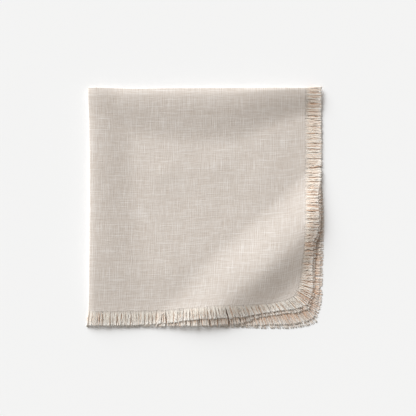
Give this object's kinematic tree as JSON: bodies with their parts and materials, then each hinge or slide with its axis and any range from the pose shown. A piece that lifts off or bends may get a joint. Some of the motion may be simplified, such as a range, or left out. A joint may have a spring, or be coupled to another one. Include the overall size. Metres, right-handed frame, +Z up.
{
  "type": "folded cloth napkin",
  "caption": "Square linen napkin folded in half twice, with two closed folds, fringed open edges and a soft slanting ridge near the open corner.",
  "frame": {"origin": "centre of the napkin's footprint, on the surface that it lies on", "axes": "+X from the closed side fold to the fringed side, +Y from the fringed end to the closed top fold, +Z up"},
  "size_m": [0.2493, 0.2529, 0.013],
  "materials": {
    "cloth": "matte natural linen in a plain weave",
    "fringe": "matte loose linen yarns"
  },
  "bodies": {
    "root": {"napkin_cloth": "cloth", "fringe_side_upper": "fringe", "fringe_side_lower": "fringe", "fringe_end_outer": "fringe", "fringe_end_inner": "fringe"}
  },
  "joints": []
}
